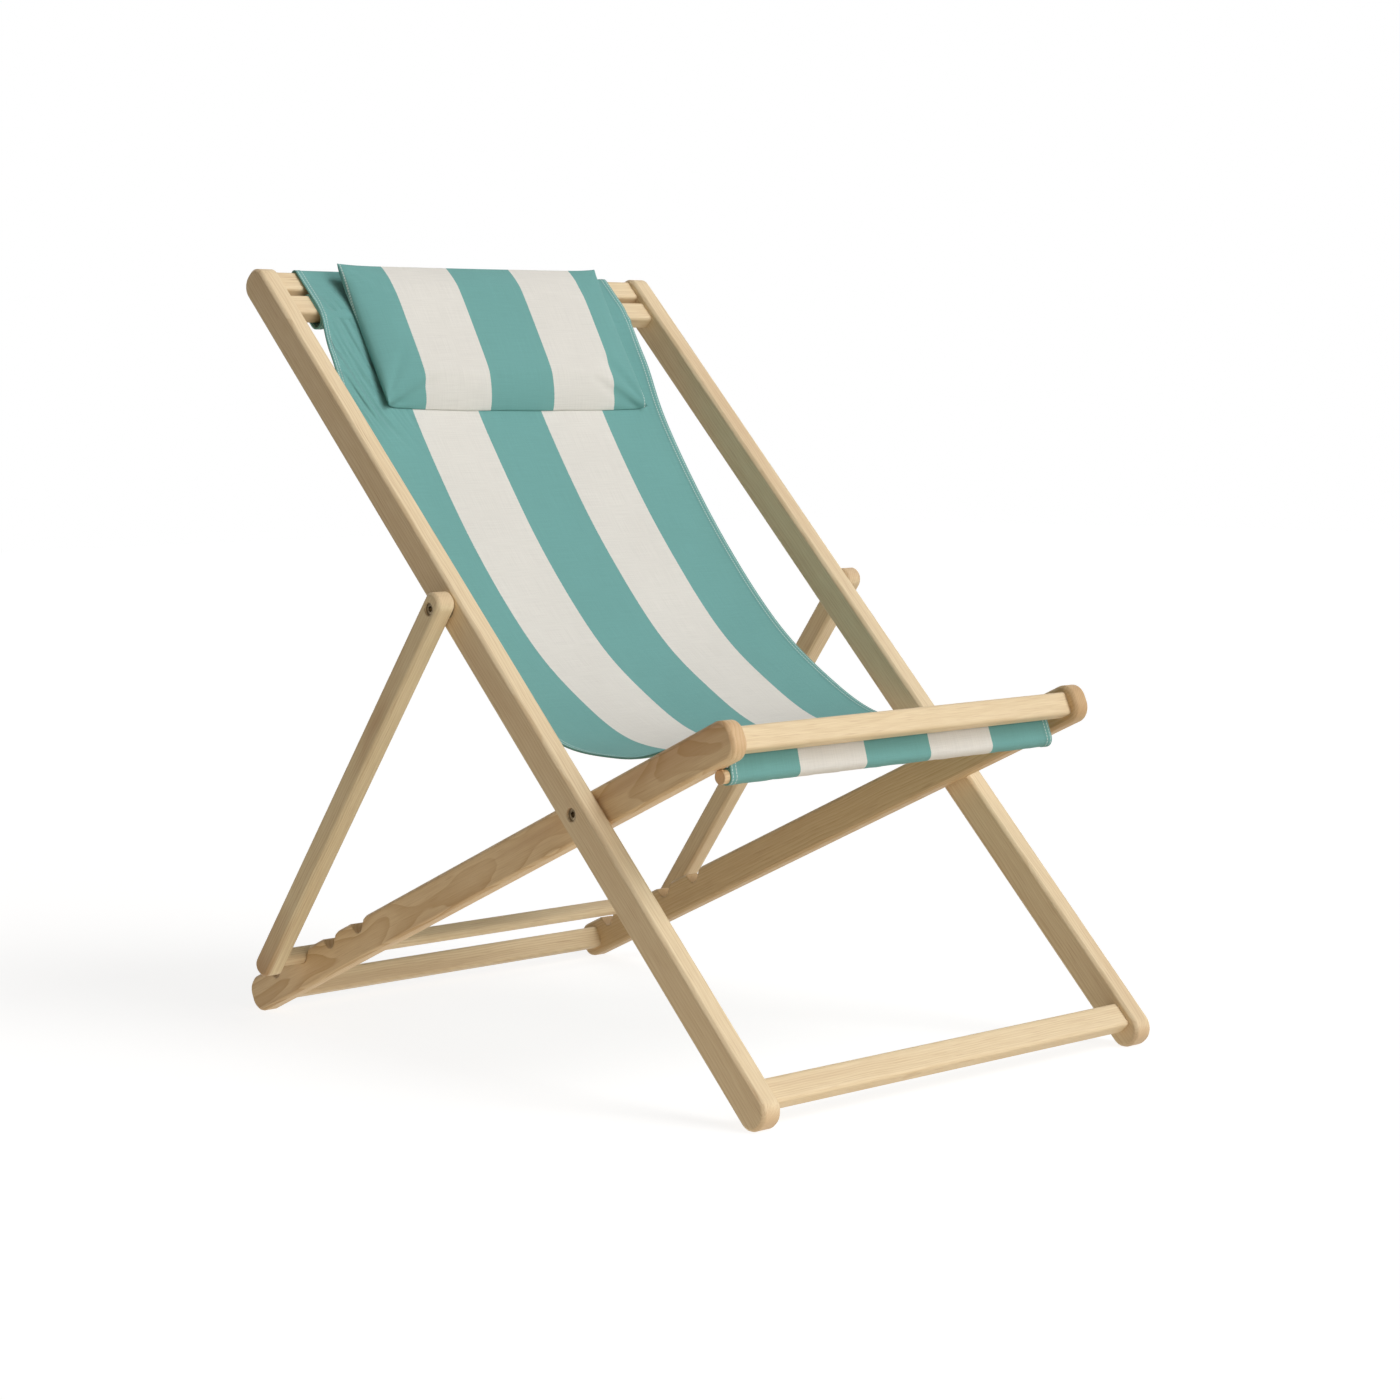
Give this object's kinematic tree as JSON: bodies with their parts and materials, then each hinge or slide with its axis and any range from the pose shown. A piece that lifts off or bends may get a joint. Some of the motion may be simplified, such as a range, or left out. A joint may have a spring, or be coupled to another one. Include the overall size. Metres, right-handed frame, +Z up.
{
  "type": "steamer deck chair",
  "caption": "Folding wooden deck chair: nested frames, notched seat rails, striped canvas sling and a headrest pillow.",
  "frame": {"origin": "on the floor, below the middle of the chair's outline", "axes": "+Z up, X across the chair, -Y the way the sitter faces, so +X is at the sitter's left"},
  "size_m": [0.6184, 0.8705, 0.8435],
  "materials": {
    "back_frame_wood": "oiled satin",
    "seat_frame_wood": "oiled satin",
    "prop_frame_wood": "oiled satin",
    "flap_rod": "plain",
    "striped_canvas": "woven, teal and cream stripes along its length",
    "pillow_cover": "woven, teal and cream stripes",
    "brass_fittings": "aged"
  },
  "bodies": {
    "back_frame": {"back_rail_left": "back_frame_wood", "back_rail_right": "back_frame_wood", "top_bar": "back_frame_wood", "sleeve_bar": "back_frame_wood", "foot_bar": "back_frame_wood", "prop_pivot_bolt_left": "brass_fittings", "prop_pivot_bolt_right": "brass_fittings", "prop_pivot_washer_left": "brass_fittings", "prop_pivot_washer_right": "brass_fittings", "sling": "striped_canvas", "headrest_pillow": "pillow_cover", "headrest_flap": "striped_canvas", "headrest_weight": "flap_rod"},
    "seat_frame": {"seat_rail_left": "seat_frame_wood", "seat_rail_right": "seat_frame_wood", "front_bar": "seat_frame_wood", "rear_bar": "seat_frame_wood", "main_pivot_bolt_left": "brass_fittings", "main_pivot_bolt_right": "brass_fittings", "main_pivot_washer_left": "brass_fittings", "main_pivot_washer_right": "brass_fittings", "sling_dowel": "seat_frame_wood"},
    "prop_frame": {"prop_strut_left": "prop_frame_wood", "prop_strut_right": "prop_frame_wood", "prop_bar": "prop_frame_wood"}
  },
  "joints": [
    {"name": "frame_fold", "type": "hinge", "parent": "back_frame", "child": "seat_frame", "pos_m": [0, -0.16553, 0.27736], "axis": [-1, 0, 0], "range_deg": [0, 105], "deforming": ["sling"]},
    {"name": "prop_swing", "type": "hinge", "parent": "back_frame", "child": "prop_frame", "pos_m": [0, 0.0258, 0.4749], "axis": [1, 0, 0], "range_deg": [0, 98]}
  ]
}
